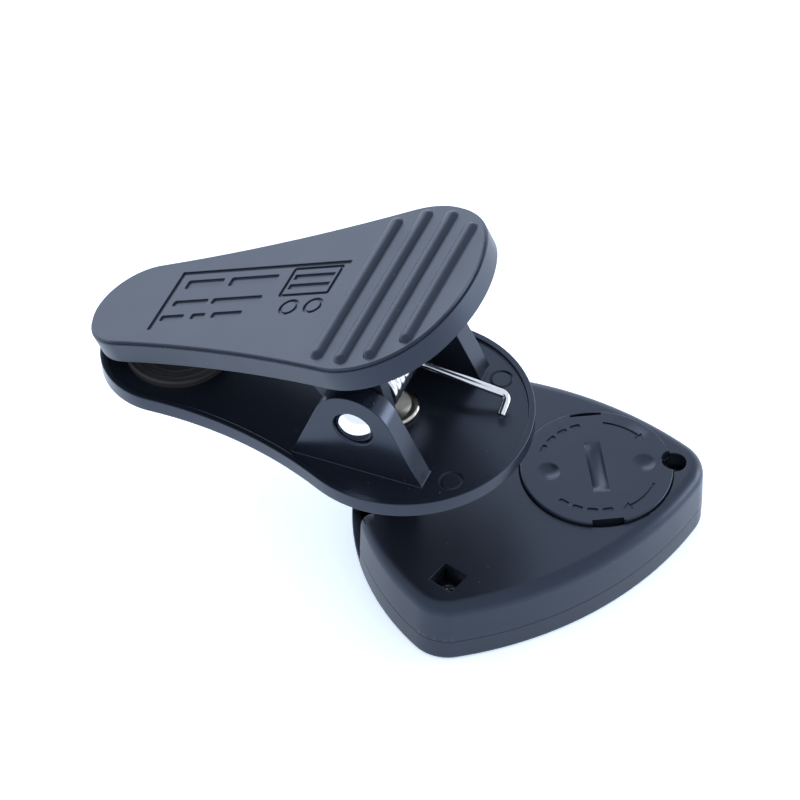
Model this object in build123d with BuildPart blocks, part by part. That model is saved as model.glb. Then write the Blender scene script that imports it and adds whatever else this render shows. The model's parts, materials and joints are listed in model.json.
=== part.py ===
"""Clip on tuner, lying on its display face, with the clip folded over its back.

Frame: origin on the rest face under the battery cover's centre, +X to the head's tip, +Z up.
"""
from build123d import *
from math import atan2, cos, hypot, pi, radians, sin, sqrt
import os

os.makedirs("parts", exist_ok=True)

# Head, the rounded triangle that lies on the table
head_height = 11.8
tip_radius = 6.7
corner_x, corner_y, corner_radius = -26.0, 19.3, 6.6
side_bulge, base_bulge = 58.5, 41.5
head_wall = 1.6
split_height = 4.2
wall_draft = 2.0
trim_length, trim_width = 40.0, 80.0
back_fillet, front_fillet = 2.2, 0.8

# Battery cover, coin cell and their well
cell_radius, cell_height = 10.0, 3.2
cell_lid_gap = 0.5
cell_gap = 0.3
cover_margin, cover_proud, cover_seat_depth = 2.0, 0.6, 1.0
cover_gap, cover_round = 0.15, 0.25
ledge_margin, ledge_height = 1.0, 1.0
lug_reach, lug_height, lug_width, lug_side_gap = 0.7, 0.8, 5.0, 0.3
well_wall = 1.3
cover_turn = 35.0
slot_length, slot_width, slot_depth = 11.0, 2.6, 0.7
dimple_offset, dimple_radius, dimple_depth = 7.55, 1.9, 0.6
rim_notch_length, rim_notch_depth = 5.0, 1.0
engraving, arrow_margin, arrow_line = 0.2, 2.3, 0.4
arrow_spans = ((75, 35), (-28, -68))
dash_angles = (148, 133, 118, 103, -133, -118, -103, -88)
dash_length, dash_width, dash_round, dash_inset = 1.7, 0.8, 0.3, 0.6

# Piezo pickup, glued beside the well
piezo_x, piezo_y, piezo_radius, crystal_radius = -19.5, 12.0, 5.8, 4.4
brass_height, crystal_height, lead_radius = 0.25, 0.2, 0.3

# Case screws
cross_length, cross_width, cross_depth = 1.7, 0.4, 0.6
screw_cover_step, tip_beyond_screw = 0.35, 1.85
screw_head_radius, screw_head_height, screw_head_round, screw_shank_radius = 1.5, 1.2, 0.3, 0.85
screw_recess, screw_tip = 4.2, 2.4
boss_radius, post_radius = 2.9, 2.2
hole_radius, corner_recess = 1.95, 4.2
boss_bottom, post_gap = 6.0, 0.05
pilot_gap, shank_gap = 0.03, 0.2
boss_root, post_root, pilot_end_gap = 0.2, 0.5, 0.2

# Display side
lens_margin, lens_height, lens_gap, lens_back_x = 3.2, 1.0, 0.12, -22.5
lcd_length, lcd_width, lcd_height, lcd_x = 24.0, 18.5, 1.6, -9.5
diffuser_length, diffuser_height = 20.5, 1.3
layer_gap = 0.05
zebra_length, zebra_width = 17.0, 1.6
board_bottom, board_height, board_margin, board_gap = 4.6, 1.0, 2.3, 0.4
button_x, button_y, button_radius, button_recess = -28.6, 12.2, 2.4, 0.15
button_gap, flange_radius, flange_height, button_round = 0.12, 3.0, 0.6, 0.4
switch_size, switch_height, plunger_radius, plunger_height = 4.5, 1.4, 1.0, 0.3

# Hinge between the head and the swivel arm
hinge_x, hinge_z = -31.0, 6.0
barrel_radius, barrel_length = 3.6, 9.5
hinge_side_gap, hinge_turn_gap = 0.15, 0.4
hinge_pin_radius, hinge_pin_gap, cheek_width = 1.0, 0.03, 2.6
cheek_skin, pin_end_gap, saddle_width = 0.6, 0.1, 1.6
notch_lead, notch_mouth = 1.3, 0.6
notch_floor = 1.6

# Swivel arm, rivet and washer
arm_tilt, swivel_turn = 3.1, -30.4
arm_length, arm_thickness, arm_corner = 21.5, 6.4, 1.2
disc_radius, disc_height = 6.8, 2.6
washer_radius, washer_height = 6.0, 0.5
rivet_radius, rivet_gap, rivet_depth = 2.2, 0.05, 9.0
rivet_head_radius, rivet_head_height, rivet_head_gap = 4.3, 0.8, 0.05
rivet_dish_radius, rivet_dish_depth, rivet_edge = 3.5, 0.5, 0.3

# Lower jaw, measured from the swivel axis along the clip
handle_x, handle_radius = 2.9, 19.2
clamp_x, clamp_radius = -36.4, 12.1
waist_radius = -68.0
floor_height, rim_height, rim_width = 2.1, 2.6, 1.0
ear_thickness, ear_outer, ear_base, ear_apex, ear_root = 3.6, 13.5, 21.4, 6.4, 0.4
ejector_rim_gap, ejector_angles = 3.7, (47.4, -42.8)
ejector_radius, ejector_line, ejector_depth = 1.8, 0.25, 0.12
pad_x, pad_radius, pad_height = -36.0, 8.5, 1.2

# Pivot of the clip
pivot_height = 10.9
pin_radius, pin_gap = 1.5, 0.05
pin_head_radius, pin_head_height, pin_head_gap, pin_head_depth = 2.95, 1.7, 0.25, 1.1
pin_head_edge = 0.5
cap_stub_radius, cap_stub_length, cap_stub_gap = 0.8, 3.0, 0.3

# Upper jaw, measured from the pivot pin
jaw_angle = 23.6
upper_handle_x, upper_handle_half, upper_corner_radius, upper_end_bulge = 8.2, 18.4, 14.0, 26.0
upper_clamp_x, upper_clamp_radius = -38.3, 9.2
upper_waist_radius = -260.0
top_height, crown_height, crown_inset = 15.6, 0.5, 0.4
plate_height, skirt_height, skirt_width = 2.0, 3.5, 1.6
upper_ear_thickness, upper_ear_gap, upper_ear_base, upper_ear_apex = 2.1, 0.15, 16.0, 4.6
upper_pad_x, upper_pad_radius, upper_pad_height = -36.6, 7.0, 3.0
rib_first_x, rib_pitch, rib_count, rib_radius, rib_rise, rib_margin = 2.6, 4.87, 4, 1.25, 0.85, 1.4

# Label engraved on the crown: a corner frame, rows of plain bars, a framed stamp and plain marks
label_depth, label_line = 0.32, 0.75
label_left, label_right, label_top, label_bottom = -33.4, -1.6, 6.2, -6.2
label_rows = (
    (3.5, 1.9, ((-28.0, 7.0), (-18.6, 9.0))),
    (-0.8, 1.2, ((-28.5, 6.6), (-19.6, 9.4))),
    (-4.1, 1.2, ((-30.3, 4.4), (-25.3, 2.6), (-19.8, 5.6))),
)
bar_round = 0.3
stamp_x, stamp_y, stamp_length, stamp_width, stamp_line, stamp_bar = -7.1, 2.4, 9.4, 6.5, 0.5, 1.1
mark_y, mark_radius, mark_line, mark_places = -3.4, 1.7, 0.5, (-8.4, -3.9)

# Torsion spring
wire_radius, coil_radius, coil_pitch, coil_whole_turns = 0.65, 3.1, 1.35, 8
lower_leg_angle, leg_length, hook_length, hook_bend = -12.0, 17.6, 3.0, 1.2
upper_leg_angle, upper_leg_length = 40.0, 16.7
leg_floor_gap = 0.1


def joining_arc(first, first_radius, second, second_radius, radius):
    """Start, middle and end of an arc tangent to two circles, hollow where radius is negative."""
    run_x, run_y = second[0] - first[0], second[1] - first[1]
    run = hypot(run_x, run_y)
    from_first, from_second = abs(radius - first_radius), abs(radius - second_radius)
    along = (from_first**2 - from_second**2 + run**2) / (2 * run)
    aside = sqrt(from_first**2 - along**2) * (1 if radius > 0 else -1)
    center_x = first[0] + (along * run_x - aside * run_y) / run
    center_y = first[1] + (along * run_y + aside * run_x) / run

    def on_arc(x, y):
        reach = abs(radius) / hypot(x - center_x, y - center_y)
        return center_x + (x - center_x) * reach, center_y + (y - center_y) * reach

    start, end = on_arc(*first), on_arc(*second)
    middle = on_arc((start[0] + end[0]) / 2, (start[1] + end[1]) / 2)
    return start, middle, end


def arc_outline(circles, bulges, grow=0.0):
    """Closed outline, counterclockwise, around circles joined by tangent arcs, grown by an offset."""
    grown = [(center, radius + grow) for center, radius in circles]
    count = len(grown)
    joins = [
        joining_arc(*grown[i], *grown[(i + 1) % count], bulges[i] + grow) for i in range(count)
    ]
    for i, (center, radius) in enumerate(grown):
        before, after = joins[i - 1][2], joins[i][0]
        from_angle = atan2(before[1] - center[1], before[0] - center[0])
        to_angle = atan2(after[1] - center[1], after[0] - center[0])
        middle_angle = from_angle + ((to_angle - from_angle) % (2 * pi)) / 2
        middle = center[0] + radius * cos(middle_angle), center[1] + radius * sin(middle_angle)
        ThreePointArc(before, middle, after)
        ThreePointArc(*joins[i])


def rib_reach(x):
    """Half the straight length of the rib at x, kept inside the handle's edge."""
    edge_radius = upper_corner_radius - rib_margin
    return upper_corner_y + sqrt(edge_radius**2 - (x - upper_handle_x) ** 2) - rib_radius


cover_radius = cell_radius + cover_margin
ledge_radius = cell_radius + ledge_margin
lug_radius = ledge_radius + lug_reach
well_outer_radius = cover_radius + well_wall
arrow_radius = cover_radius - arrow_margin
dash_radius = arrow_radius - dash_inset
screw_tip_x = cover_radius + screw_cover_step
tip_x = screw_tip_x - tip_beyond_screw
head_circles = [
    ((tip_x, 0), tip_radius),
    ((corner_x, corner_y), corner_radius),
    ((corner_x, -corner_y), corner_radius),
]
head_bulges = [side_bulge, base_bulge, side_bulge]
lower_circles = [((handle_x, 0), handle_radius), ((clamp_x, 0), clamp_radius)]
lower_waists = [waist_radius, waist_radius]
ejector_reach = handle_radius - ejector_rim_gap
upper_corner_y = upper_handle_half - upper_corner_radius
upper_circles = [
    ((upper_handle_x, upper_corner_y), upper_corner_radius),
    ((upper_clamp_x, 0), upper_clamp_radius),
    ((upper_handle_x, -upper_corner_y), upper_corner_radius),
]
upper_waists = [upper_waist_radius, upper_waist_radius, upper_end_bulge]

# Places that follow from the sizes above
screw_places = [(screw_tip_x, 0), (corner_x, corner_y), (corner_x, -corner_y)]
roof_height = head_height - head_wall
seat_height = head_height - cover_seat_depth
ledge_bottom = seat_height - ledge_height
lug_bottom = ledge_bottom - layer_gap - lug_height
cell_bottom = seat_height - cell_lid_gap - cell_height
screw_seat = head_height - screw_recess
board_top = board_bottom + board_height
notch_half = barrel_length / 2 + hinge_side_gap
notch_end = hinge_x + barrel_radius + hinge_turn_gap
cheek_outer = notch_half + cheek_width
base_edge = corner_x + sqrt((base_bulge - corner_radius) ** 2 - corner_y**2) - base_bulge
tilted = radians(arm_tilt)
arm_plane = Plane(
    (hinge_x, 0, hinge_z), x_dir=(cos(tilted), 0, sin(tilted)), z_dir=(-sin(tilted), 0, cos(tilted))
)
turned = radians(swivel_turn)
jaw_plane = Plane(
    arm_plane.offset(arm_length + washer_height).origin,
    x_dir=arm_plane.x_dir * cos(turned) + arm_plane.y_dir * sin(turned),
    z_dir=arm_plane.z_dir,
)
pivot_plane = jaw_plane.offset(pivot_height)
opened = radians(jaw_angle)
upper_plane = Plane(
    pivot_plane.origin,
    x_dir=pivot_plane.x_dir * cos(opened) + pivot_plane.z_dir * sin(opened),
    z_dir=pivot_plane.z_dir * cos(opened) - pivot_plane.x_dir * sin(opened),
)
jaw_side = Plane(jaw_plane.origin, x_dir=jaw_plane.x_dir, z_dir=-jaw_plane.y_dir)
pivot_side = Plane(pivot_plane.origin, x_dir=pivot_plane.x_dir, z_dir=-pivot_plane.y_dir)
upper_side = Plane(pivot_plane.origin, x_dir=upper_plane.x_dir, z_dir=-pivot_plane.y_dir)
hinge_side = Plane((hinge_x, 0, hinge_z), x_dir=(1, 0, 0), z_dir=(0, -1, 0))
ear_inner = ear_outer - ear_thickness
upper_ear_outer = ear_inner - upper_ear_gap
pin_seat = ear_outer - pin_head_depth
pin_section = Plane(pivot_plane.origin, x_dir=-pivot_plane.y_dir, z_dir=-pivot_plane.x_dir)
pin_axis = Axis(pivot_plane.origin, -pivot_plane.y_dir)
cover_top = head_height + cover_proud
slot_cut_radius = slot_length**2 / (8 * slot_depth) + slot_depth / 2
dimple_cut_radius = (dimple_radius**2 + dimple_depth**2) / (2 * dimple_depth)
dimple_center = cover_top + dimple_cut_radius - dimple_depth
piezo_top = roof_height - layer_gap
crown_top = top_height + crown_height
plate_bottom = crown_top - plate_height

# The spring's wire turns clockwise, seen from the near side, from one leg's line to the other's
leg_spread = upper_leg_angle + jaw_angle - lower_leg_angle
coil_turns = coil_whole_turns + (180 - leg_spread) / 360
coil_length = coil_turns * coil_pitch
coil_start = radians(lower_leg_angle - 90)
coil_plane = Plane(
    pivot_plane.origin + pivot_plane.y_dir * coil_length / 2,
    x_dir=pivot_plane.x_dir * cos(coil_start) + pivot_plane.z_dir * sin(coil_start),
    z_dir=-pivot_plane.y_dir,
)
leg_end_height = -coil_radius * cos(radians(lower_leg_angle)) + leg_length * sin(radians(lower_leg_angle))
hook_drop = pivot_height + leg_end_height - floor_height - wire_radius - leg_floor_gap

# Rear case: tapered shell with the battery well, screw bosses and hinge cheeks
with BuildPart() as rear_case:
    with BuildSketch(Plane.XY.offset(split_height)):
        with BuildLine():
            arc_outline(head_circles, head_bulges)
        make_face()
    extrude(amount=head_height - split_height, taper=wall_draft)
    fillet(rear_case.faces().sort_by(Axis.Z)[-1].edges(), back_fillet)
    with BuildSketch(Plane.XY.offset(split_height)) as rear_cavity:
        with BuildLine():
            arc_outline(head_circles, head_bulges, -head_wall)
        make_face()
        with Locations((notch_end + head_wall, 0)):
            Rectangle(trim_length, 2 * cheek_outer, align=(Align.MAX, Align.CENTER), mode=Mode.SUBTRACT)
    extrude(amount=roof_height - split_height, taper=wall_draft, mode=Mode.SUBTRACT)
    with BuildSketch(Plane.XY.offset(boss_bottom)):
        Circle(well_outer_radius)
    extrude(amount=roof_height - boss_bottom + boss_root)
    with BuildSketch(Plane.XY.offset(boss_bottom)):
        with Locations(*screw_places):
            Circle(boss_radius)
    extrude(amount=roof_height - boss_bottom + boss_root)
    with BuildSketch(Plane.XY.offset(board_top)):
        Circle(cell_radius + cell_gap)
    extrude(amount=head_height, mode=Mode.SUBTRACT)
    with BuildSketch(Plane.XY.offset(lug_bottom - cover_gap)):
        Circle(lug_radius + cover_gap)
    extrude(amount=ledge_bottom - lug_bottom + cover_gap, mode=Mode.SUBTRACT)
    with BuildSketch(Plane.XY.offset(ledge_bottom)):
        Circle(ledge_radius)
        Rectangle(2 * (lug_radius + cover_gap), lug_width + 2 * lug_side_gap, rotation=-cover_turn)
    extrude(amount=head_height, mode=Mode.SUBTRACT)
    with BuildSketch(Plane.XY.offset(seat_height)):
        Circle(cover_radius + cover_gap)
    extrude(amount=head_height, mode=Mode.SUBTRACT)
    with BuildSketch(Plane.XY.offset(board_top)):
        with Locations((-cell_radius, 0)):
            Rectangle(3.0, 5.0)
    extrude(amount=lug_bottom - board_top, mode=Mode.SUBTRACT)
    with BuildSketch(Plane.XY.offset(screw_seat)):
        with Locations(screw_places[0]):
            Circle(hole_radius)
        with Locations(*screw_places[1:]):
            Rectangle(corner_recess, corner_recess, rotation=45)
    extrude(amount=head_height, mode=Mode.SUBTRACT)
    with BuildSketch(Plane.XY):
        with Locations(*screw_places):
            Circle(screw_shank_radius + shank_gap)
    extrude(amount=head_height, mode=Mode.SUBTRACT)
    with BuildSketch() as notch:
        with BuildLine():
            Polyline(
                (base_edge - 5, -notch_half - notch_mouth),
                (base_edge, -notch_half - notch_mouth),
                (base_edge + notch_lead, -notch_half),
                (notch_end, -notch_half),
                (notch_end, notch_half),
                (base_edge + notch_lead, notch_half),
                (base_edge, notch_half + notch_mouth),
                (base_edge - 5, notch_half + notch_mouth),
                close=True,
            )
        make_face()
    extrude(amount=head_height, mode=Mode.SUBTRACT)
    with BuildSketch(hinge_side):
        Circle(hinge_pin_radius + hinge_pin_gap)
        Rectangle(2 * (hinge_pin_radius + hinge_pin_gap), hinge_z, align=(Align.CENTER, Align.MAX))
    extrude(amount=cheek_outer - cheek_skin, both=True, mode=Mode.SUBTRACT)

# Front case: bezel with the lens seat, button holes, screw posts and hinge saddles
with BuildPart() as front_case:
    with BuildSketch():
        with BuildLine():
            arc_outline(head_circles, head_bulges)
        make_face()
    extrude(amount=split_height)
    fillet(front_case.faces().sort_by(Axis.Z)[0].edges(), front_fillet)
    with BuildSketch(Plane.XY.offset(head_wall)):
        with BuildLine():
            arc_outline(head_circles, head_bulges, -head_wall)
        make_face()
        with Locations((notch_end + head_wall, 0)):
            Rectangle(trim_length, 2 * cheek_outer, align=(Align.MAX, Align.CENTER), mode=Mode.SUBTRACT)
    extrude(amount=split_height, mode=Mode.SUBTRACT)
    with BuildSketch():
        with BuildLine():
            arc_outline(head_circles, head_bulges, lens_gap - lens_margin)
        make_face()
        with Locations((lens_back_x - lens_gap, 0)):
            Rectangle(trim_length, trim_width, align=(Align.MAX, Align.CENTER), mode=Mode.SUBTRACT)
    extrude(amount=lens_height + layer_gap, mode=Mode.SUBTRACT)
    with BuildSketch():
        with Locations((lcd_x, 0)):
            Rectangle(lcd_length + 2 * lens_gap, lcd_width + 2 * lens_gap)
        with Locations((button_x, button_y), (button_x, -button_y)):
            Circle(button_radius + button_gap)
    extrude(amount=head_wall, mode=Mode.SUBTRACT)
    with BuildSketch(Plane.XY.offset(head_wall - post_root)):
        with Locations(*screw_places):
            Circle(post_radius)
    extrude(amount=boss_bottom - post_gap - head_wall + post_root)
    with BuildSketch(Plane.XY.offset(screw_tip - pilot_end_gap)):
        with Locations(*screw_places):
            Circle(screw_shank_radius + pilot_gap)
    extrude(amount=head_height, mode=Mode.SUBTRACT)
    with BuildSketch(Plane.XY.offset(notch_floor)):
        add(notch.sketch)
    extrude(amount=head_height, mode=Mode.SUBTRACT)
    with BuildSketch(Plane.XY.offset(split_height - post_root)):
        with Locations((hinge_x, cheek_outer - saddle_width), (hinge_x, saddle_width - cheek_outer)):
            Rectangle(2 * hinge_pin_radius - pin_end_gap, saddle_width)
    extrude(amount=hinge_z - hinge_pin_radius - hinge_pin_gap - split_height + post_root)

# Display lens, flush with the bezel and so the face that it rests on
with BuildPart() as display_lens:
    with BuildSketch():
        with BuildLine():
            arc_outline(head_circles, head_bulges, -lens_margin)
        make_face()
        with Locations((lens_back_x, 0)):
            Rectangle(trim_length, trim_width, align=(Align.MAX, Align.CENTER), mode=Mode.SUBTRACT)
    extrude(amount=lens_height)

# Display glass, its light guide and the rubber contact strip between glass and board
lcd_bottom = lens_height + 2 * layer_gap
with BuildPart() as lcd_panel:
    with BuildSketch(Plane.XY.offset(lcd_bottom)):
        with Locations((lcd_x, 0)):
            Rectangle(lcd_length, lcd_width)
    extrude(amount=lcd_height)

diffuser_bottom = lcd_bottom + lcd_height + layer_gap
with BuildPart() as backlight_diffuser:
    with BuildSketch(Plane.XY.offset(diffuser_bottom)):
        with Locations((lcd_x + (lcd_length - diffuser_length) / 2, 0)):
            Rectangle(diffuser_length, lcd_width)
    extrude(amount=diffuser_height)

with BuildPart() as zebra_strip:
    with BuildSketch(Plane.XY.offset(diffuser_bottom)):
        with Locations((lcd_x - lcd_length / 2 + zebra_width / 2 + 0.4, 0)):
            Rectangle(zebra_width, zebra_length)
    extrude(amount=board_bottom - layer_gap - diffuser_bottom)

# Circuit board, cut away round the screw posts and the hinge
with BuildPart() as circuit_board:
    with BuildSketch(Plane.XY.offset(board_bottom)):
        with BuildLine():
            arc_outline(head_circles, head_bulges, -board_margin)
        make_face()
        with Locations(*screw_places):
            Circle(post_radius + board_gap, mode=Mode.SUBTRACT)
        with Locations((notch_end + head_wall + board_gap, 0)):
            Rectangle(trim_length, 2 * (cheek_outer + board_gap), align=(Align.MAX, Align.CENTER), mode=Mode.SUBTRACT)
    extrude(amount=board_height)

# Tuner chip and small chip components on the board's rear side
with BuildPart() as tuner_chip:
    with BuildSketch(Plane.XY.offset(board_top)):
        with Locations((-18.5, -8.0)):
            Rectangle(5.0, 5.0)
    extrude(amount=0.9)

with BuildPart() as chip_components:
    with BuildSketch(Plane.XY.offset(board_top)):
        with Locations((-18.5, -13.0)):
            with GridLocations(2.6, 2.2, 3, 2):
                Rectangle(1.6, 0.8)
        with Locations((-23.0, -8.0)):
            Rectangle(1.5, 3.2)
    extrude(amount=0.6)

# Two push buttons in the bezel with a tact switch on the board behind each
for side, button_name, switch_name in ((-1, "power_button", "power_switch"), (1, "mode_button", "mode_switch")):
    with BuildPart() as button:
        with BuildSketch(Plane.XY.offset(button_recess)):
            with Locations((button_x, side * button_y)):
                Circle(button_radius)
        extrude(amount=head_wall + layer_gap - button_recess)
        fillet(button.faces().sort_by(Axis.Z)[0].edges(), button_round)
        with BuildSketch(Plane.XY.offset(head_wall + layer_gap)):
            with Locations((button_x, side * button_y)):
                Circle(flange_radius)
        extrude(amount=flange_height)
    button.part.label = button_name
    export_step(button.part, f"parts/{button_name}.step")

    with BuildPart() as switch:
        with BuildSketch(Plane.XY.offset(board_bottom)):
            with Locations((button_x, side * button_y)):
                Rectangle(switch_size, switch_size)
        extrude(amount=-switch_height)
        with BuildSketch(Plane.XY.offset(board_bottom - switch_height)):
            with Locations((button_x, side * button_y)):
                Circle(plunger_radius)
        extrude(amount=-plunger_height)
    switch.part.label = switch_name
    export_step(switch.part, f"parts/{switch_name}.step")

# Battery contacts: a leaf up the side of the cell, and a ring with two tongues under it
with BuildPart() as positive_contact:
    with BuildSketch(Plane.XY.offset(board_top)):
        with Locations((-cell_radius - 0.1, 0)):
            Rectangle(0.3, 4.0, align=(Align.MAX, Align.CENTER))
        with Locations((-cell_radius - 0.02, 0)):
            Rectangle(0.3, 1.2, align=(Align.MAX, Align.CENTER))
    extrude(amount=lug_bottom - 2 * cover_gap - board_top)

with BuildPart() as negative_contact:
    with BuildSketch(Plane.XY.offset(board_top)):
        Circle(6.0)
        Circle(4.6, mode=Mode.SUBTRACT)
    extrude(amount=0.3)
    with BuildSketch(Plane.XY.offset(board_top + 0.25)):
        with PolarLocations(5.3, 2):
            Rectangle(1.2, 2.4)
    extrude(amount=cell_bottom - layer_gap - board_top - 0.25)

# Coin cell, with its plus side up under the cover
with BuildPart() as coin_cell:
    with BuildSketch(Plane.XY.offset(cell_bottom)):
        Circle(cell_radius - 1.2)
    extrude(amount=0.4)
    with BuildSketch(Plane.XY.offset(cell_bottom + 0.4)):
        Circle(cell_radius)
    extrude(amount=cell_height - 0.4)
    fillet(coin_cell.faces().sort_by(Axis.Z)[-1].edges(), 0.3)

# Battery cover: disc with a coin slot, two dimples, rim notches and bayonet lugs below the ledge
with BuildPart() as battery_cover:
    with BuildSketch(Plane.XY.offset(seat_height + layer_gap)):
        Circle(cover_radius)
    extrude(amount=cover_top - seat_height - layer_gap)
    fillet(battery_cover.faces().sort_by(Axis.Z)[-1].edges(), cover_round)
    with BuildSketch(Plane.XY.offset(lug_bottom)):
        Circle(ledge_radius - cover_gap)
        Circle(cell_radius + cell_gap, mode=Mode.SUBTRACT)
    extrude(amount=seat_height + 2 * layer_gap - lug_bottom)
    with BuildSketch(Plane.XY.offset(lug_bottom)):
        Circle(lug_radius)
        Circle(cell_radius + cell_gap, mode=Mode.SUBTRACT)
        Rectangle(3 * lug_radius, lug_width, mode=Mode.INTERSECT)
    extrude(amount=lug_height)
    with BuildSketch(Plane.YZ):
        with Locations((0, cover_top - slot_depth + slot_cut_radius)):
            Circle(slot_cut_radius)
    extrude(amount=slot_width / 2, both=True, mode=Mode.SUBTRACT)
    with Locations((dimple_offset, 0, dimple_center), (-dimple_offset, 0, dimple_center)):
        Sphere(dimple_cut_radius, mode=Mode.SUBTRACT)
    with BuildSketch(Plane.XY.offset(seat_height)):
        with Locations((0, cover_radius), (0, -cover_radius)):
            Rectangle(rim_notch_length, 2 * rim_notch_depth)
        with Locations(screw_places[0]):
            Circle(hole_radius + cover_gap)
    extrude(amount=head_height, mode=Mode.SUBTRACT)
    with BuildSketch(Plane.XY.offset(cover_top)):
        for arrow_from, arrow_to in arrow_spans:
            with BuildLine():
                CenterArc((0, 0), arrow_radius, arrow_from, arrow_to - arrow_from)
                CenterArc((0, 0), arrow_radius - arrow_line, arrow_from, arrow_to - arrow_from)
                for arrow_end in (arrow_from, arrow_to):
                    Line(
                        (arrow_radius * cos(radians(arrow_end)), arrow_radius * sin(radians(arrow_end))),
                        (
                            (arrow_radius - arrow_line) * cos(radians(arrow_end)),
                            (arrow_radius - arrow_line) * sin(radians(arrow_end)),
                        ),
                    )
            make_face()
            with PolarLocations(arrow_radius - arrow_line / 2, 1, start_angle=arrow_to):
                Triangle(a=4 * arrow_line, b=4 * arrow_line, c=4 * arrow_line, rotation=180)
        with Locations(*[
            Location(
                (dash_radius * cos(radians(turn)), dash_radius * sin(radians(turn)), 0),
                (0, 0, turn),
            )
            for turn in dash_angles
        ]):
            RectangleRounded(dash_width, dash_length, dash_round)
    extrude(amount=-engraving, mode=Mode.SUBTRACT)

# Piezo pickup glued under the rear case's roof, with its two leads to the board
with BuildPart() as piezo_disc:
    with BuildSketch(Plane.XY.offset(piezo_top)):
        with Locations((piezo_x, piezo_y)):
            Circle(piezo_radius)
    extrude(amount=-brass_height)
    with BuildSketch(Plane.XY.offset(piezo_top - brass_height)):
        with Locations((piezo_x, piezo_y)):
            Circle(crystal_radius)
    extrude(amount=-crystal_height)

with BuildPart() as piezo_leads:
    with BuildSketch(Plane.XY.offset(board_top)):
        with Locations((piezo_x, piezo_y - crystal_radius - 0.6), (piezo_x, piezo_y - 2.0)):
            Circle(lead_radius)
    extrude(amount=piezo_top - brass_height - crystal_height - board_top)

# Three self-tapping screws, heads down in their recesses
with BuildPart() as case_screws:
    with BuildSketch(Plane.XY.offset(screw_tip)):
        with Locations(*screw_places):
            Circle(screw_shank_radius)
    extrude(amount=screw_seat + 0.1 - screw_tip)
    with BuildSketch(Plane.XY.offset(screw_seat)):
        with Locations(*screw_places):
            Circle(screw_head_radius)
    extrude(amount=screw_head_height)
    fillet(case_screws.faces().group_by(Axis.Z)[-1].edges(), screw_head_round)
    with BuildSketch(Plane.XY.offset(screw_seat + screw_head_height - cross_depth)):
        with Locations(*screw_places):
            Rectangle(cross_length, cross_width)
            Rectangle(cross_width, cross_length)
    extrude(amount=screw_head_height, mode=Mode.SUBTRACT)

# Hinge pin across the notch, held between the two cases
with BuildPart() as hinge_pin:
    with BuildSketch(hinge_side):
        Circle(hinge_pin_radius)
    extrude(amount=cheek_outer - cheek_skin - pin_end_gap, both=True)

# Swivel arm: hinge barrel, flat stalk and the round disc that carries the clip
with BuildPart() as swivel_arm:
    with BuildSketch(hinge_side):
        Circle(barrel_radius)
    extrude(amount=barrel_length / 2, both=True)
    with BuildSketch(arm_plane):
        RectangleRounded(arm_thickness, barrel_length, arm_corner)
    extrude(amount=arm_length - disc_height / 2)
    with BuildSketch(arm_plane.offset(arm_length - disc_height)):
        Circle(disc_radius)
    extrude(amount=disc_height)
    with BuildSketch(arm_plane.offset(arm_length - rivet_depth)):
        Circle(rivet_radius)
    extrude(amount=rivet_depth, mode=Mode.SUBTRACT)
    with BuildSketch(hinge_side):
        Circle(hinge_pin_radius + hinge_pin_gap)
    extrude(amount=barrel_length, both=True, mode=Mode.SUBTRACT)

# Thin washer between the arm and the lower jaw
with BuildPart() as swivel_washer:
    with BuildSketch(arm_plane.offset(arm_length)):
        Circle(washer_radius)
        Circle(rivet_radius + rivet_gap, mode=Mode.SUBTRACT)
    extrude(amount=washer_height)

# Swivel rivet: shank fast in the arm, dished head just over the lower jaw's floor
rivet_head_bottom = floor_height + rivet_head_gap
rivet_head_top = rivet_head_bottom + rivet_head_height
with BuildPart() as swivel_rivet:
    with BuildSketch(jaw_side):
        with BuildLine():
            Polyline(
                (0, rivet_head_top - rivet_dish_depth),
                (0, -washer_height - rivet_depth),
                (rivet_radius, -washer_height - rivet_depth),
                (rivet_radius, rivet_head_bottom),
                (rivet_head_radius, rivet_head_bottom),
                (rivet_head_radius, rivet_head_top - rivet_edge),
                (rivet_head_radius - rivet_edge, rivet_head_top),
                (rivet_dish_radius, rivet_head_top),
            )
            TangentArc(
                (0, rivet_head_top - rivet_dish_depth),
                (rivet_dish_radius, rivet_head_top),
                tangent=(1, 0),
            )
        make_face()
    revolve(axis=Axis(jaw_plane.origin, jaw_plane.z_dir))

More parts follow.
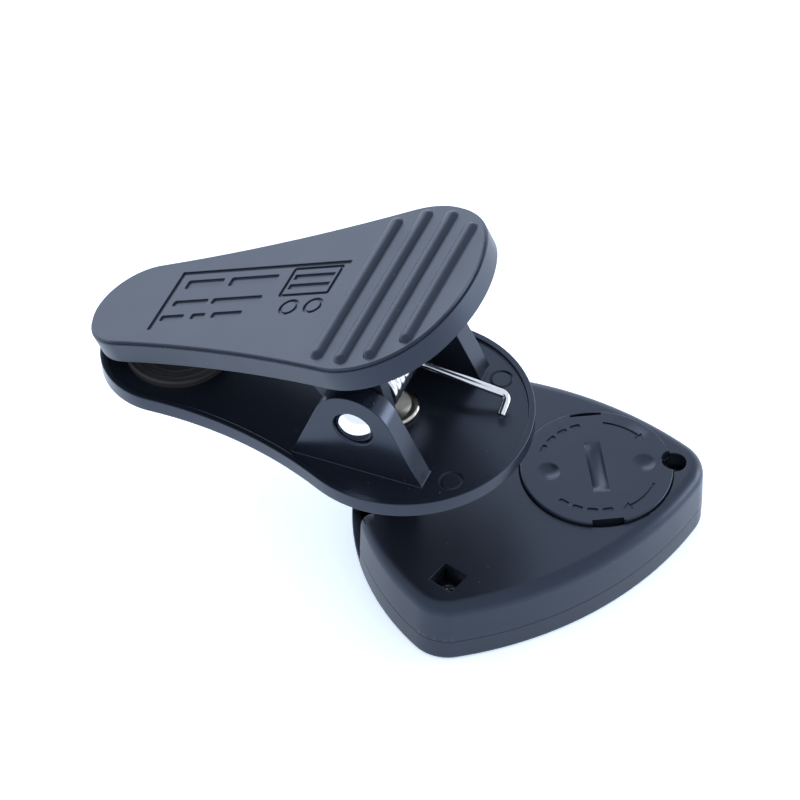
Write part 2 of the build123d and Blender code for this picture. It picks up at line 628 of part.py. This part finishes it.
# Lower jaw: shallow dish with a lip, and two ears for the pivot pin
with BuildPart() as lower_jaw:
    with BuildSketch(jaw_plane):
        with BuildLine():
            arc_outline(lower_circles, lower_waists)
        make_face()
    extrude(amount=rim_height)
    with BuildSketch(jaw_plane.offset(floor_height)):
        with BuildLine():
            arc_outline(lower_circles, lower_waists, -rim_width)
        make_face()
    extrude(amount=rim_height, mode=Mode.SUBTRACT)
    for ear_side in (1, -1):
        with BuildSketch(jaw_side.offset(ear_side * ear_inner)):
            with Locations((0, pivot_height)):
                Circle(ear_apex)
            with Locations((0, floor_height - ear_root)):
                Rectangle(ear_base, ear_root, align=(Align.CENTER, Align.MIN))
            make_hull()
        extrude(amount=ear_side * ear_thickness)
    with BuildSketch(jaw_plane.offset(floor_height)):
        for ejector_angle in ejector_angles:
            with Locations(
                (
                    handle_x + ejector_reach * cos(radians(ejector_angle)),
                    ejector_reach * sin(radians(ejector_angle)),
                )
            ):
                Circle(ejector_radius)
                Circle(ejector_radius - ejector_line, mode=Mode.SUBTRACT)
    extrude(amount=-ejector_depth, mode=Mode.SUBTRACT)
    with BuildSketch(pivot_side):
        Circle(pin_radius)
    extrude(amount=2 * ear_outer, both=True, mode=Mode.SUBTRACT)
    for ear_side in (1, -1):
        with BuildSketch(pivot_side.offset(ear_side * pin_seat)):
            Circle(pin_head_radius + pin_head_gap)
        extrude(amount=ear_side * pin_head_depth * 2, mode=Mode.SUBTRACT)
    with BuildSketch(jaw_plane):
        Circle(rivet_radius + rivet_gap)
    extrude(amount=pivot_height, mode=Mode.SUBTRACT)

# Rubber pad on the lower jaw's floor, under the clamp end
with BuildPart() as lower_pad:
    with BuildSketch(jaw_plane.offset(floor_height)):
        with Locations((pad_x, 0)):
            Circle(pad_radius)
    extrude(amount=pad_height)

# Pivot pin with a domed head at the near end, and the cap pressed into its far end
with BuildPart() as pivot_pin:
    with BuildSketch(pin_section):
        with BuildLine():
            Polyline(
                (pin_seat + pin_head_height, 0),
                (cap_stub_length + cap_stub_gap - pin_seat, 0),
                (cap_stub_length + cap_stub_gap - pin_seat, cap_stub_radius),
                (-pin_seat, cap_stub_radius),
                (-pin_seat, pin_radius),
                (pin_seat, pin_radius),
                (pin_seat, pin_head_radius),
                (pin_seat + pin_head_edge, pin_head_radius),
            )
            TangentArc(
                (pin_seat + pin_head_height, 0),
                (pin_seat + pin_head_edge, pin_head_radius),
                tangent=(0, 1),
            )
        make_face()
    revolve(axis=pin_axis)

with BuildPart() as pin_cap:
    with BuildSketch(pin_section):
        with BuildLine():
            Polyline(
                (-pin_seat - pin_head_height, 0),
                (cap_stub_length - pin_seat, 0),
                (cap_stub_length - pin_seat, cap_stub_radius),
                (-pin_seat, cap_stub_radius),
                (-pin_seat, pin_head_radius),
                (-pin_seat - pin_head_edge, pin_head_radius),
            )
            TangentArc(
                (-pin_seat - pin_head_height, 0),
                (-pin_seat - pin_head_edge, pin_head_radius),
                tangent=(0, 1),
            )
        make_face()
    revolve(axis=pin_axis)

# Torsion spring: a coil round the pin, with one leg down to each jaw
with BuildPart() as torsion_spring:
    coil = Edge.make_helix(coil_pitch, coil_length, coil_radius, lefthand=True).moved(coil_plane.location)
    lower_bend = coil @ 0 - (coil % 0) * leg_length
    hook_end = lower_bend - pivot_plane.y_dir * hook_length - pivot_plane.z_dir * hook_drop
    with BuildLine() as spring_path:
        FilletPolyline(hook_end, lower_bend, coil @ 0, radius=hook_bend)
        add(coil)
        Line(coil @ 1, coil @ 1 + (coil % 1) * upper_leg_length)
    with BuildSketch(Plane(spring_path.line @ 0, z_dir=spring_path.line % 0)):
        Circle(wire_radius)
    sweep(path=spring_path.line)

# Upper jaw: skirted plate with a raised crown, thumb ribs and two inner ears
with BuildPart(upper_plane) as upper_jaw:
    with BuildSketch(upper_plane.offset(top_height - skirt_height)):
        with BuildLine():
            arc_outline(upper_circles, upper_waists)
        make_face()
    extrude(amount=skirt_height)
    with BuildSketch(upper_plane.offset(top_height)):
        with BuildLine():
            arc_outline(upper_circles, upper_waists, -crown_inset)
        make_face()
    extrude(amount=crown_height)
    with BuildSketch(upper_plane.offset(top_height - skirt_height)):
        with BuildLine():
            arc_outline(upper_circles, upper_waists, -skirt_width)
        make_face()
    extrude(amount=plate_bottom - top_height + skirt_height, mode=Mode.SUBTRACT)
    for ear_side in (1, -1):
        with BuildSketch(upper_side.offset(ear_side * upper_ear_outer)):
            Circle(upper_ear_apex)
            with Locations((0, plate_bottom)):
                Rectangle(upper_ear_base, ear_root, align=(Align.CENTER, Align.MIN))
            make_hull()
        extrude(amount=-ear_side * upper_ear_thickness)
    with BuildSketch(upper_side):
        Circle(pin_radius + pin_gap)
    extrude(amount=ear_outer, both=True, mode=Mode.SUBTRACT)
    with BuildSketch(upper_plane.offset(crown_top)):
        with Locations(((label_left + label_right) / 2, label_top)):
            Rectangle(label_right - label_left, label_line)
        with Locations((label_left, (label_top + label_bottom) / 2)):
            Rectangle(label_line, label_top - label_bottom + label_line)
        with Locations((stamp_x, stamp_y)):
            RectangleRounded(stamp_length, stamp_width, stamp_line)
            Rectangle(stamp_length - 2 * stamp_line, stamp_width - 2 * stamp_line, mode=Mode.SUBTRACT)
        with Locations((stamp_x, stamp_y + stamp_width / 6), (stamp_x, stamp_y - stamp_width / 6)):
            Rectangle(stamp_length - 4 * stamp_line, stamp_bar)
        for mark_x in mark_places:
            with Locations((mark_x, mark_y)):
                Circle(mark_radius)
                Circle(mark_radius - mark_line, mode=Mode.SUBTRACT)
        for bar_y, bar_width, bars in label_rows:
            for bar_x, bar_length in bars:
                with Locations((bar_x, bar_y)):
                    RectangleRounded(bar_length, bar_width, bar_round)
    extrude(amount=-label_depth, mode=Mode.SUBTRACT)
    for rib in range(rib_count):
        rib_x = rib_first_x + rib * rib_pitch
        rib_half = rib_reach(rib_x)
        with Locations((rib_x, 0, crown_top + rib_rise - rib_radius)):
            Cylinder(rib_radius, 2 * rib_half, rotation=(90, 0, 0))
        with Locations(
            (rib_x, rib_half, crown_top + rib_rise - rib_radius),
            (rib_x, -rib_half, crown_top + rib_rise - rib_radius),
        ):
            Sphere(rib_radius)

# Rubber pad under the upper jaw's clamp end
with BuildPart() as upper_pad:
    with BuildSketch(upper_plane.offset(plate_bottom)):
        with Locations((upper_pad_x, 0)):
            Circle(upper_pad_radius)
    extrude(amount=-upper_pad_height)

pieces = {
    "rear_case": rear_case,
    "front_case": front_case,
    "display_lens": display_lens,
    "lcd_panel": lcd_panel,
    "backlight_diffuser": backlight_diffuser,
    "zebra_strip": zebra_strip,
    "circuit_board": circuit_board,
    "tuner_chip": tuner_chip,
    "chip_components": chip_components,
    "positive_contact": positive_contact,
    "negative_contact": negative_contact,
    "coin_cell": coin_cell,
    "battery_cover": battery_cover,
    "piezo_disc": piezo_disc,
    "piezo_leads": piezo_leads,
    "case_screws": case_screws,
    "hinge_pin": hinge_pin,
    "swivel_arm": swivel_arm,
    "swivel_washer": swivel_washer,
    "swivel_rivet": swivel_rivet,
    "lower_jaw": lower_jaw,
    "lower_pad": lower_pad,
    "pivot_pin": pivot_pin,
    "pin_cap": pin_cap,
    "torsion_spring": torsion_spring,
    "upper_jaw": upper_jaw,
    "upper_pad": upper_pad,
}
for piece_name, piece in pieces.items():
    piece.part.label = piece_name
    export_step(piece.part, f"parts/{piece_name}.step")
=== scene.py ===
"""Clip-on tuner lying on its display, its spring clip standing above the head on a tilting arm."""

import json
from math import cos, pi, radians, sin

import bmesh
import bpy
from mathutils import Matrix, Vector


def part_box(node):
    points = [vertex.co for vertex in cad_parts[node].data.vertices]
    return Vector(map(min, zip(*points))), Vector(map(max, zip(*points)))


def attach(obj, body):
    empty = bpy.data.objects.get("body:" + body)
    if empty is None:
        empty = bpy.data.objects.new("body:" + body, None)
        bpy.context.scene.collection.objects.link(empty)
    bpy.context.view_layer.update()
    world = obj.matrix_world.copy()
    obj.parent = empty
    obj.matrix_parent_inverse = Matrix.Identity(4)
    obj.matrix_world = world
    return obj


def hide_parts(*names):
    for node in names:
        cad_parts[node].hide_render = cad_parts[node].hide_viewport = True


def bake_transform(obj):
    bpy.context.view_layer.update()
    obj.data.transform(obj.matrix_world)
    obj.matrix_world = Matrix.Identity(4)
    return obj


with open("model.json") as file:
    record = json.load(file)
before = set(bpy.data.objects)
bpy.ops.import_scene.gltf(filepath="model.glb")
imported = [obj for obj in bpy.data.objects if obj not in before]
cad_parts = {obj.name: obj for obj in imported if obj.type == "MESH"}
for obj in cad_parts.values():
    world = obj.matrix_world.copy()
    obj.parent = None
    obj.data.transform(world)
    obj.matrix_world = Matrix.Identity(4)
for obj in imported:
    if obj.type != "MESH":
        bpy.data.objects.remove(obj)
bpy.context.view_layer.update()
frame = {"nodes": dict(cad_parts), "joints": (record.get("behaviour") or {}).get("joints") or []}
scene = bpy.context.scene

# Camera: a long lens looks down at the back of the head, with the clip's handles towards it.
# The turn is about the upright axis from +Y, and the tilt is below the horizon.
camera_turn, camera_tilt = radians(7.02), radians(46.58)
camera_target = Vector((-0.020, 0.0, 0.008))
camera_distance = 0.5822
target_right, target_down = 0.010974, 0.015249
ahead = Vector((
    sin(camera_turn) * cos(camera_tilt), cos(camera_turn) * cos(camera_tilt), -sin(camera_tilt),
))
right = Vector((cos(camera_turn), -sin(camera_turn), 0))
up = right.cross(ahead)
camera_data = bpy.data.cameras.new("camera")
camera_data.sensor_width = 36
camera_data.lens = 166.66
camera_data.clip_start, camera_data.clip_end = 0.01, 10
camera = bpy.data.objects.new("camera", camera_data)
scene.collection.objects.link(camera)
camera_spot = camera_target - ahead * camera_distance - right * target_right + up * target_down
camera.matrix_world = Matrix.Translation(camera_spot) @ Matrix((right, up, -ahead)).transposed().to_4x4()
scene.camera = camera

# Studio: a white light table under an even, cool white room, as small black goods are shown.
# One wide panel stands behind the tuner and a narrow one at its right, for the sheen and the edges.
scene.view_settings.view_transform = "Standard"
room = bpy.data.worlds.new("room")
room.use_nodes = True
room_light = room.node_tree.nodes["Background"]
room_light.inputs["Color"].default_value = (0.78, 0.86, 1.0, 1.0)
room_light.inputs["Strength"].default_value = 1.2
scene.world = room

floor_bm = bmesh.new()
bmesh.ops.create_grid(floor_bm, x_segments=1, y_segments=1, size=1.5)
floor_mesh = bpy.data.meshes.new("studio_floor")
floor_bm.to_mesh(floor_mesh)
floor_bm.free()
floor = bpy.data.objects.new("studio_floor", floor_mesh)
scene.collection.objects.link(floor)
paper = bpy.data.materials.new("light_table")
paper.use_nodes = True
paper_shader = paper.node_tree.nodes["Principled BSDF"]
paper_shader.inputs["Base Color"].default_value = (0.90, 0.92, 0.95, 1)
paper_shader.inputs["Roughness"].default_value = 0.9
paper_shader.inputs["Emission Color"].default_value = (0.74, 0.85, 1.0, 1)
paper_shader.inputs["Emission Strength"].default_value = 0.52
floor_mesh.materials.append(paper)


def panel(name, spot, aim, wide, high, watts):
    """A soft rectangular lamp at spot that faces aim."""
    lamp = bpy.data.lights.new(name, "AREA")
    lamp.shape = "RECTANGLE"
    lamp.size, lamp.size_y = wide, high
    lamp.energy = watts
    lamp.color = (0.80, 0.88, 1.0)
    lamp_object = bpy.data.objects.new(name, lamp)
    lamp_object.location = spot
    lamp_object.rotation_euler = (Vector(aim) - Vector(spot)).to_track_quat("-Z", "Y").to_euler()
    scene.collection.objects.link(lamp_object)


panel("back_panel", (-0.2, 0.75, 0.38), (-0.02, 0, 0.02), 0.9, 0.5, 3.2)
panel("right_panel", (0.7, 0.1, 0.12), (-0.02, 0, 0.02), 0.5, 0.3, 3.0)


# Black ABS: most of the tuner is injection moulded in it, with a fine satin grain from the tool.
# The grain, a little cloudiness in the gloss and a few specks of dust are all in one material.
def node_in(material, kind, **settings):
    """A new shader node of that kind, with its settings made."""
    made = material.node_tree.nodes.new(kind)
    for setting, value in settings.items():
        setattr(made, setting, value)
    return made


cloud_scale, dust_scale = 160, 330
dust_rim, dust_core = 0.035, 0.02
dust_tint = (0.12, 0.13, 0.15, 1)
sheen_tint = (0.64, 0.76, 1.0, 1.0)


def black_plastic(name, tint, gloss, grain_size, grain_depth):
    """Black moulded plastic of that roughness, with grain of that size and depth in metres."""
    material = bpy.data.materials.new(name)
    material.use_nodes = True
    link = material.node_tree.links.new
    shader = material.node_tree.nodes["Principled BSDF"]
    shader.inputs["IOR"].default_value = 1.52
    shader.inputs["Specular Tint"].default_value = sheen_tint
    place = node_in(material, "ShaderNodeTexCoord")
    cloud = node_in(material, "ShaderNodeTexNoise")
    cloud.inputs["Scale"].default_value = cloud_scale
    cloud.inputs["Detail"].default_value = 3
    link(place.outputs["Object"], cloud.inputs["Vector"])
    gloss_range = node_in(material, "ShaderNodeMapRange")
    gloss_range.inputs["To Min"].default_value = gloss * 0.9
    gloss_range.inputs["To Max"].default_value = gloss * 1.1
    link(cloud.outputs["Fac"], gloss_range.inputs["Value"])
    link(gloss_range.outputs["Result"], shader.inputs["Roughness"])
    grain = node_in(material, "ShaderNodeTexNoise")
    grain.inputs["Scale"].default_value = 1 / grain_size
    grain.inputs["Detail"].default_value = 2
    link(place.outputs["Object"], grain.inputs["Vector"])
    bump = node_in(material, "ShaderNodeBump")
    bump.inputs["Distance"].default_value = grain_depth
    bump.inputs["Strength"].default_value = 1.0
    link(grain.outputs["Fac"], bump.inputs["Height"])
    link(bump.outputs["Normal"], shader.inputs["Normal"])
    dust = node_in(material, "ShaderNodeTexVoronoi")
    dust.inputs["Scale"].default_value = dust_scale
    link(place.outputs["Object"], dust.inputs["Vector"])
    speck = node_in(material, "ShaderNodeMapRange")
    speck.inputs["From Min"].default_value = dust_rim
    speck.inputs["From Max"].default_value = dust_core
    link(dust.outputs["Distance"], speck.inputs["Value"])
    shade = node_in(material, "ShaderNodeMix", data_type="RGBA")
    shade.inputs["A"].default_value = (*tint, 1)
    shade.inputs["B"].default_value = dust_tint
    link(speck.outputs["Result"], shade.inputs["Factor"])
    link(shade.outputs["Result"], shader.inputs["Base Color"])
    return material


satin_black = black_plastic("satin_black_abs", (0.009, 0.011, 0.016), 0.36, 0.00035, 0.000006)
smooth_black = black_plastic("smooth_black_abs", (0.008, 0.010, 0.015), 0.24, 0.0006, 0.000002)

# Meshing: vertices closer than same_spot are one, and turns in degrees say what is flat or sharp.
same_spot = 2e-6
flat_turn, corner_turn, sharp_turn = radians(0.2), radians(28), radians(40)


def moulding(node, name, body, material, edge):
    """The CAD node's shape as one smooth piece, its corners rounded by edge, in metres."""
    bm = bmesh.new()
    bm.from_mesh(frame["nodes"][node].data)
    bmesh.ops.remove_doubles(bm, verts=bm.verts, dist=same_spot)
    bmesh.ops.dissolve_limit(bm, angle_limit=flat_turn, verts=bm.verts, edges=bm.edges)
    corners = [e for e in bm.edges if len(e.link_faces) == 2 and e.calc_face_angle(0) > corner_turn]
    if edge:
        bmesh.ops.bevel(
            bm, geom=corners, offset=edge, offset_type="OFFSET", segments=2, profile=0.5,
            affect="EDGES", material=-1, clamp_overlap=False,
        )
    for face in bm.faces:
        face.smooth = True
    mesh = bpy.data.meshes.new(name)
    bm.to_mesh(mesh)
    bm.free()
    mesh.set_sharp_from_angle(angle=sharp_turn)
    mesh.materials.append(material)
    piece = bpy.data.objects.new(name, mesh)
    scene.collection.objects.link(piece)
    even = piece.modifiers.new("even_shading", "WEIGHTED_NORMAL")
    even.keep_sharp = True
    even.weight = 100
    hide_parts(node)
    if body:
        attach(piece, body)
    return piece


# Back shell of the head: satin black, with the cover's seat, screw recesses and the arm's notch.
# The front shell closes it along a fine parting line, and carries the display and the two keys.
moulding("rear_case", "back_shell", "head", satin_black, 0.00012)
moulding("front_case", "front_shell", "head", satin_black, 0.00012)


# Display: a clear acrylic lens over the liquid-crystal glass and its white light guide.
# The gauge that shows the pitch is drawn on the glass as an arc of ticks with one needle.
def clear_plastic(name, tint, gloss, clearness):
    """Plastic or glass, see-through at a clearness of 1 and milky at 0, faintly uneven."""
    material = bpy.data.materials.new(name)
    material.use_nodes = True
    link = material.node_tree.links.new
    shader = material.node_tree.nodes["Principled BSDF"]
    shader.inputs["Roughness"].default_value = gloss
    shader.inputs["IOR"].default_value = 1.49
    shader.inputs["Transmission Weight"].default_value = clearness
    place = node_in(material, "ShaderNodeTexCoord")
    cloud = node_in(material, "ShaderNodeTexNoise")
    cloud.inputs["Scale"].default_value = 220
    link(place.outputs["Object"], cloud.inputs["Vector"])
    shade = node_in(material, "ShaderNodeMix", data_type="RGBA")
    shade.inputs["A"].default_value = (*tint, 1)
    shade.inputs["B"].default_value = (*[min(1.0, part * 1.08) for part in tint], 1)
    link(cloud.outputs["Fac"], shade.inputs["Factor"])
    link(shade.outputs["Result"], shader.inputs["Base Color"])
    return material


def coat(node, material):
    """Gives a CAD node that stays as it is its finish."""
    mesh = frame["nodes"][node].data
    mesh.materials.clear()
    mesh.materials.append(material)


coat("display_lens", clear_plastic("lens_acrylic", (0.9, 0.92, 0.93), 0.03, 1.0))
coat("lcd_panel", clear_plastic("lcd_glass", (0.34, 0.40, 0.33), 0.12, 0.0))
coat("backlight_diffuser", clear_plastic("light_guide", (0.88, 0.9, 0.9), 0.4, 0.0))

glass_low, glass_high = (Vector(corner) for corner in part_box("lcd_panel"))
gauge_center = Vector((glass_low.x + 0.004, 0, glass_low.z - 0.00003))
gauge_radius, tick_count, tick_wide, ink_thick = 0.0130, 21, 0.00035, 0.00002
short_tick, tall_tick, tall_every = 0.0012, 0.0022, 5
gauge_half_turn, needle_wide, needle_short, needle_shift = 32, 0.0005, 0.003, 0.0005
gauge_bm = bmesh.new()
for tick in range(tick_count):
    tick_long = short_tick if tick % tall_every else tall_tick
    turn = radians(gauge_half_turn * (2 * tick / (tick_count - 1) - 1))
    stroke = bmesh.ops.create_cube(gauge_bm, size=1)["verts"]
    bmesh.ops.scale(gauge_bm, vec=(tick_long, tick_wide, ink_thick), verts=stroke)
    bmesh.ops.translate(gauge_bm, vec=(gauge_radius + tick_long / 2, 0, 0), verts=stroke)
    bmesh.ops.rotate(gauge_bm, cent=(0, 0, 0), matrix=Matrix.Rotation(turn, 3, "Z"), verts=stroke)
needle = bmesh.ops.create_cube(gauge_bm, size=1)["verts"]
bmesh.ops.scale(gauge_bm, vec=(gauge_radius - needle_short, needle_wide, ink_thick), verts=needle)
bmesh.ops.translate(gauge_bm, vec=(gauge_radius / 2 + needle_shift, 0, 0), verts=needle)
bmesh.ops.translate(gauge_bm, vec=gauge_center, verts=gauge_bm.verts)
gauge_mesh = bpy.data.meshes.new("display_gauge")
gauge_bm.to_mesh(gauge_mesh)
gauge_bm.free()
gauge_mesh.materials.append(black_plastic("gauge_ink", (0.01, 0.012, 0.012), 0.5, 0.0006, 0.000001))
gauge = bpy.data.objects.new("display_gauge", gauge_mesh)
scene.collection.objects.link(gauge)
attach(gauge, "head")

# Keys: two round black keys in the display side, each over a small dome switch.
# They are moulded smooth, with a rounded edge.
moulding("power_button", "power_key_cap", "power_key", smooth_black, 0.00025)
moulding("mode_button", "mode_key_cap", "mode_key", smooth_black, 0.00025)


# Metals: nickel plating on the pins and the rivet, spring wire, and the steel of screws and contacts.
# Fine drawn scratches and some haze keep the gloss uneven.
def metal(name, tint, haze, scratch_size, scratch_depth, tarnish=0.0):
    """Plated or bare metal of that roughness, with scratches and an optional brown tarnish."""
    material = bpy.data.materials.new(name)
    material.use_nodes = True
    link = material.node_tree.links.new
    shader = material.node_tree.nodes["Principled BSDF"]
    shader.inputs["Metallic"].default_value = 1.0
    place = node_in(material, "ShaderNodeTexCoord")
    cloud = node_in(material, "ShaderNodeTexNoise")
    cloud.inputs["Scale"].default_value = 900
    cloud.inputs["Detail"].default_value = 4
    link(place.outputs["Object"], cloud.inputs["Vector"])
    haze_range = node_in(material, "ShaderNodeMapRange")
    haze_range.inputs["To Min"].default_value = haze * 0.6
    haze_range.inputs["To Max"].default_value = haze * 1.5
    link(cloud.outputs["Fac"], haze_range.inputs["Value"])
    link(haze_range.outputs["Result"], shader.inputs["Roughness"])
    shade = node_in(material, "ShaderNodeMix", data_type="RGBA")
    shade.inputs["A"].default_value = (*tint, 1)
    shade.inputs["B"].default_value = (*[part * (1 - tarnish) for part in tint], 1)
    link(cloud.outputs["Fac"], shade.inputs["Factor"])
    link(shade.outputs["Result"], shader.inputs["Base Color"])
    scratch = node_in(material, "ShaderNodeTexNoise")
    scratch.inputs["Scale"].default_value = 1 / scratch_size
    link(place.outputs["Object"], scratch.inputs["Vector"])
    bump = node_in(material, "ShaderNodeBump")
    bump.inputs["Distance"].default_value = scratch_depth
    link(scratch.outputs["Fac"], bump.inputs["Height"])
    link(bump.outputs["Normal"], shader.inputs["Normal"])
    return material


bright_nickel = metal("bright_nickel", (0.86, 0.86, 0.88), 0.07, 0.0004, 0.000001)
spring_wire = metal("spring_wire", (0.80, 0.79, 0.77), 0.13, 0.0003, 0.000003, 0.25)
rivet_nickel = metal("rivet_nickel", (0.62, 0.58, 0.50), 0.16, 0.0005, 0.000003, 0.45)
plain_steel = metal("plain_steel", (0.66, 0.66, 0.67), 0.25, 0.0004, 0.000002, 0.2)
black_steel = metal("black_steel", (0.36, 0.36, 0.38), 0.2, 0.0003, 0.000004, 0.3)
sheet_brass = metal("sheet_brass", (0.78, 0.60, 0.28), 0.3, 0.0005, 0.000002, 0.2)
steel_nodes = (
    "hinge_pin", "power_switch", "mode_switch", "positive_contact", "negative_contact", "coin_cell",
)
for steel_node in steel_nodes:
    coat(steel_node, plain_steel)
coat("piezo_disc", sheet_brass)

# Case screws: blackened self-tapping screws, one at the tip and one at each rear corner.
# Their cross recesses catch the light at the bottom of their holes.
moulding("case_screws", "shell_screws", "head", black_steel, 0.00006)

# Battery cover: the same satin black as the shell, with a coin slot, two dimples and two grips.
# Plain dashes and two arrows round its edge show the way it turns.
moulding("battery_cover", "battery_door", "cover", satin_black, 0)


# Insides: the board with its chip and small parts, the rubber contact strip and the pickup's leads.
# They are closed in, so each has a plain finish with a little unevenness.
def plain_finish(name, tint, roughness, patch):
    """A dull finish with soft patches of that size in metres."""
    material = bpy.data.materials.new(name)
    material.use_nodes = True
    link = material.node_tree.links.new
    shader = material.node_tree.nodes["Principled BSDF"]
    shader.inputs["Roughness"].default_value = roughness
    place = node_in(material, "ShaderNodeTexCoord")
    patches = node_in(material, "ShaderNodeTexNoise")
    patches.inputs["Scale"].default_value = 1 / patch
    patches.inputs["Detail"].default_value = 3
    link(place.outputs["Object"], patches.inputs["Vector"])
    shade = node_in(material, "ShaderNodeMix", data_type="RGBA")
    shade.inputs["A"].default_value = (*[part * 0.8 for part in tint], 1)
    shade.inputs["B"].default_value = (*[min(1.0, part * 1.2) for part in tint], 1)
    link(patches.outputs["Fac"], shade.inputs["Factor"])
    link(shade.outputs["Result"], shader.inputs["Base Color"])
    bump = node_in(material, "ShaderNodeBump")
    bump.inputs["Distance"].default_value = patch * 0.02
    link(patches.outputs["Fac"], bump.inputs["Height"])
    link(bump.outputs["Normal"], shader.inputs["Normal"])
    return material


coat("circuit_board", plain_finish("solder_mask", (0.02, 0.14, 0.06), 0.4, 0.001))
coat("tuner_chip", plain_finish("chip_package", (0.02, 0.02, 0.02), 0.6, 0.0005))
coat("chip_components", plain_finish("chip_ceramic", (0.45, 0.36, 0.26), 0.6, 0.0005))
coat("zebra_strip", plain_finish("strip_rubber", (0.10, 0.10, 0.10), 0.8, 0.0008))
coat("piezo_leads", plain_finish("lead_sleeve", (0.5, 0.06, 0.05), 0.5, 0.0008))

# Arm: one stout moulding that stands in the head's notch on its hinge pin.
# Its round disc carries the clip, over a thin dark washer.
moulding("swivel_arm", "tilt_arm", "arm", satin_black, 0)
coat("swivel_washer", plain_finish("washer_fibre", (0.04, 0.04, 0.042), 0.7, 0.0006))
moulding("swivel_rivet", "swivel_eyelet", "arm", rivet_nickel, 0.0001)

# Lower jaw: a shallow dish with a lip, glossier inside than the head, and two stout ears.
# The plated pivot pin goes through the ears, domed at the near end and capped at the far one.
moulding("lower_jaw", "lower_clip_jaw", "lower_clip", smooth_black, 0.00015)
moulding("pivot_pin", "pivot_rivet", "lower_clip", bright_nickel, 0.0001)
moulding("pin_cap", "pivot_rivet_cap", "lower_clip", bright_nickel, 0.0001)

# Torsion spring: bright wire coiled round the pin, one leg hooked on the lower jaw's floor.
joints = {joint["name"]: joint for joint in frame["joints"]}
pin_middle = Vector(joints["clip_open"]["pos_m"])
across = Vector(joints["clip_open"]["axis"])
spring = moulding("torsion_spring", "clip_spring", None, spring_wire, 0)
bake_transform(spring)

# Upper jaw: a skirted plate with a raised crown, four thumb ribs and a plain engraved label.
# Its inner ears turn on the pivot pin.
moulding("upper_jaw", "upper_clip_jaw", "upper_clip", satin_black, 0.00008)


# Pads: two thick discs of soft black rubber, glued in the clamp ends of the jaws.
# Each has a rounded rim and shallow rings on the face that grips.
def grip_pad(name, node, body, middle, facing, radius, height):
    """A ringed rubber disc on the plane at middle, standing height out of it along facing."""
    rings, ring_depth, rim, rim_steps, turn_steps = 5, 0.00012, 0.0004, 4, 96
    bm = bmesh.new()
    profile = [bm.verts.new((0, 0, height))]
    for ring in range(rings):
        groove = radius * (ring + 1) / (rings + 1)
        for step, drop in ((-1.6, 0), (-0.6, 1), (0.6, 1), (1.6, 0)):
            profile.append(bm.verts.new((groove + step * ring_depth, 0, height - drop * ring_depth)))
    for step in range(rim_steps + 1):
        turn = pi / 2 * (1 - step / rim_steps)
        profile.append(bm.verts.new((radius - rim + rim * cos(turn), 0, height - rim + rim * sin(turn))))
    profile.append(bm.verts.new((radius, 0, 0)))
    profile.append(bm.verts.new((0, 0, 0)))
    line = [bm.edges.new(pair) for pair in zip(profile, profile[1:])]
    bmesh.ops.spin(
        bm, geom=profile + line, axis=(0, 0, 1), cent=(0, 0, 0), steps=turn_steps, angle=2 * pi,
        use_merge=True,
    )
    bmesh.ops.remove_doubles(bm, verts=bm.verts, dist=1e-6)
    bmesh.ops.recalc_face_normals(bm, faces=bm.faces)
    turn_to = facing.to_track_quat("Z", "Y").to_matrix().to_4x4()
    bmesh.ops.transform(bm, matrix=Matrix.Translation(middle) @ turn_to, verts=bm.verts)
    for face in bm.faces:
        face.smooth = True
    mesh = bpy.data.meshes.new(name)
    bm.to_mesh(mesh)
    bm.free()
    mesh.set_sharp_from_angle(angle=radians(50))
    mesh.materials.append(pad_rubber)
    pad = bpy.data.objects.new(name, mesh)
    scene.collection.objects.link(pad)
    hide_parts(node)
    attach(pad, body)


pad_rubber = plain_finish("pad_rubber", (0.020, 0.019, 0.018), 0.62, 0.0004)
jaw_angle = radians(23.6)
jaw_floor_over_seat, plate_over_pin = 0.0021, 0.0141
lower_pad_back, lower_pad_radius, lower_pad_height = 0.036, 0.0085, 0.0012
upper_pad_back, upper_pad_radius, upper_pad_height = 0.0366, 0.007, 0.003
jaw_up = Vector(joints["clip_swivel"]["axis"])
jaw_along = across.cross(jaw_up)
upper_up = jaw_up * cos(jaw_angle) - jaw_along * sin(jaw_angle)
upper_along = jaw_along * cos(jaw_angle) + jaw_up * sin(jaw_angle)
jaw_floor = Vector(joints["clip_swivel"]["pos_m"]) + jaw_up * jaw_floor_over_seat
lower_spot = jaw_floor - jaw_along * lower_pad_back
grip_pad("lower_grip", "lower_pad", "lower_clip", lower_spot, jaw_up, lower_pad_radius, lower_pad_height)
upper_spot = pin_middle + upper_up * plate_over_pin - upper_along * upper_pad_back
grip_pad("upper_grip", "upper_pad", "upper_clip", upper_spot, -upper_up, upper_pad_radius, upper_pad_height)
